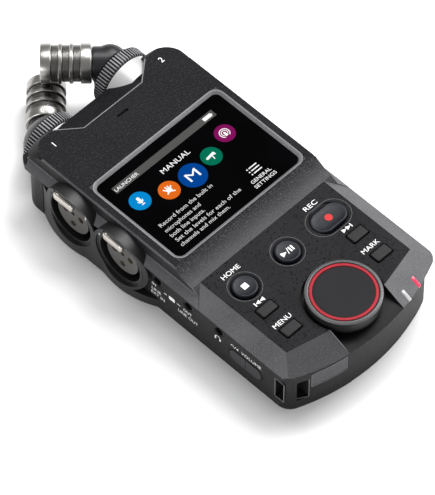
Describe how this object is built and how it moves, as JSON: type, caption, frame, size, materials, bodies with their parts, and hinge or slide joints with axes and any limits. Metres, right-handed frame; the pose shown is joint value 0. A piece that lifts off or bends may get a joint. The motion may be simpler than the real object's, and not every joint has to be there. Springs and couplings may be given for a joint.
{
  "type": "portable field recorder",
  "caption": "Handheld audio field recorder with a screen, jog dial, transport buttons, side microphone inputs and swivelling crossed microphones.",
  "frame": {"origin": "centre of the bounding box, on the back face that it lies on", "axes": "+X to the right of the screen, +Y towards the microphones, +Z out of the screen"},
  "size_m": [0.077, 0.1713, 0.0306],
  "materials": {
    "case": "fine speckled black texture",
    "bevel": "charcoal satin texture",
    "panel": "flecked black texture",
    "window": "polished black window",
    "board": "solder mask",
    "metal": "satin",
    "bright_metal": "satin nickel",
    "mic_metal": "satin anodised",
    "mesh": "woven mesh",
    "knurl": "moulded knurl",
    "mic_black": "satin",
    "dial": "soft black",
    "dial_red": "translucent red",
    "key": "matte",
    "insert": "moulded grey",
    "black": "matte",
    "clear": "clear",
    "red_clear": "clear red",
    "brass": "machined",
    "cell": "printed sleeve"
  },
  "bodies": {
    "case": {"upper_case": "case", "lower_case": "case", "input_bezel": "bevel", "control_panel": "panel", "display_window": "window", "lcd_module": "metal", "main_pcb": "board", "key_pcb": "board", "tact_switches": "metal", "encoder_body": "metal", "ext_in_jack": "black", "line_out_jack": "black", "phones_jack": "black", "peak_light_pipe": "clear", "rec_light_pipe": "red_clear", "batteries": "cell", "battery_contacts": "bright_metal", "speaker": "black", "tripod_nut": "brass", "case_screws": "metal", "usb_socket": "metal", "card_socket": "metal", "adapter_connector": "black", "mic_1_socket": "knurl", "mic_2_socket": "knurl", "input_3_shell": "black", "input_3_insert": "insert", "input_3_contacts": "brass", "input_4_shell": "black", "input_4_insert": "insert", "input_4_contacts": "brass"},
    "stop_key": {"stop_button": "key"},
    "play_key": {"play_button": "key"},
    "rec_key": {"rec_button": "key"},
    "rewind_key": {"rewind_button": "key"},
    "forward_key": {"forward_button": "key"},
    "menu_key": {"menu_button": "key"},
    "mark_key": {"mark_button": "key"},
    "volume_plus_key": {"volume_plus_button": "bevel"},
    "volume_minus_key": {"volume_minus_button": "bevel"},
    "power_slider": {"power_switch": "bevel"},
    "dial": {"dial_knob": "dial", "dial_ring": "dial_red", "dial_cap": "dial", "encoder_shaft": "metal"},
    "mic_1": {"mic_1_ring": "knurl", "mic_1_arm": "mic_black", "mic_1_head": "mic_metal", "mic_1_mesh": "mesh", "mic_1_capsule": "brass"},
    "mic_2": {"mic_2_ring": "knurl", "mic_2_arm": "mic_black", "mic_2_head": "mic_metal", "mic_2_mesh": "mesh", "mic_2_capsule": "brass"},
    "latch_3": {"input_3_latch": "bright_metal"},
    "latch_4": {"input_4_latch": "bright_metal"},
    "battery_lid": {"battery_door": "case"},
    "card_lid": {"card_cover": "case"},
    "adapter_lid": {"adapter_cover": "bevel"}
  },
  "joints": [
    {"name": "mic_1_swivel", "type": "hinge", "parent": "case", "child": "mic_1", "pos_m": [-0.0164, 0.05611, 0.0121], "axis": [0, 1, 0], "range_deg": [0, 180]},
    {"name": "mic_2_swivel", "type": "hinge", "parent": "case", "child": "mic_2", "pos_m": [0.0188, 0.05611, 0.0175], "axis": [0, 1, 0], "range_deg": [0, 180]},
    {"name": "dial_turn", "type": "hinge", "parent": "case", "child": "dial", "pos_m": [0.0012, -0.06869, 0.0294], "axis": [0, 0, 1], "continuous": true},
    {"name": "stop_press", "type": "slide", "parent": "case", "child": "stop_key", "axis": [0, 0, -1], "range_m": [0, 0.0004], "stiffness_N_per_m": 2500},
    {"name": "play_press", "type": "slide", "parent": "case", "child": "play_key", "axis": [0, 0, -1], "range_m": [0, 0.0004], "stiffness_N_per_m": 2500},
    {"name": "rec_press", "type": "slide", "parent": "case", "child": "rec_key", "axis": [0, 0, -1], "range_m": [0, 0.0004], "stiffness_N_per_m": 2500},
    {"name": "rewind_press", "type": "slide", "parent": "case", "child": "rewind_key", "axis": [0, 0, -1], "range_m": [0, 0.0004], "stiffness_N_per_m": 2500},
    {"name": "forward_press", "type": "slide", "parent": "case", "child": "forward_key", "axis": [0, 0, -1], "range_m": [0, 0.0004], "stiffness_N_per_m": 2500},
    {"name": "menu_press", "type": "slide", "parent": "case", "child": "menu_key", "axis": [0, 0, -1], "range_m": [0, 0.0004], "stiffness_N_per_m": 2500},
    {"name": "mark_press", "type": "slide", "parent": "case", "child": "mark_key", "axis": [0, 0, -1], "range_m": [0, 0.0004], "stiffness_N_per_m": 2500},
    {"name": "volume_plus_press", "type": "slide", "parent": "case", "child": "volume_plus_key", "axis": [1, 0, 0], "range_m": [0, 0.0004], "stiffness_N_per_m": 2500},
    {"name": "volume_minus_press", "type": "slide", "parent": "case", "child": "volume_minus_key", "axis": [1, 0, 0], "range_m": [0, 0.0004], "stiffness_N_per_m": 2500},
    {"name": "power_slide", "type": "slide", "parent": "case", "child": "power_slider", "axis": [0, 1, 0], "range_m": [-0.003, 0.003]},
    {"name": "latch_3_press", "type": "slide", "parent": "case", "child": "latch_3", "axis": [1, 0, 0], "range_m": [0, 0.0008], "stiffness_N_per_m": 2000},
    {"name": "latch_4_press", "type": "slide", "parent": "case", "child": "latch_4", "axis": [1, 0, 0], "range_m": [0, 0.0008], "stiffness_N_per_m": 2000},
    {"name": "battery_door_slide", "type": "slide", "parent": "case", "child": "battery_lid", "axis": [0, -1, 0], "range_m": [0, 0.012]},
    {"name": "card_cover_hinge", "type": "hinge", "parent": "case", "child": "card_lid", "pos_m": [0.03565, -0.04769, 0.0054], "axis": [0, 1, 0], "range_deg": [0, 95]},
    {"name": "adapter_cover_pull", "type": "slide", "parent": "case", "child": "adapter_lid", "axis": [0, -1, 0], "range_m": [0, 0.01]}
  ]
}
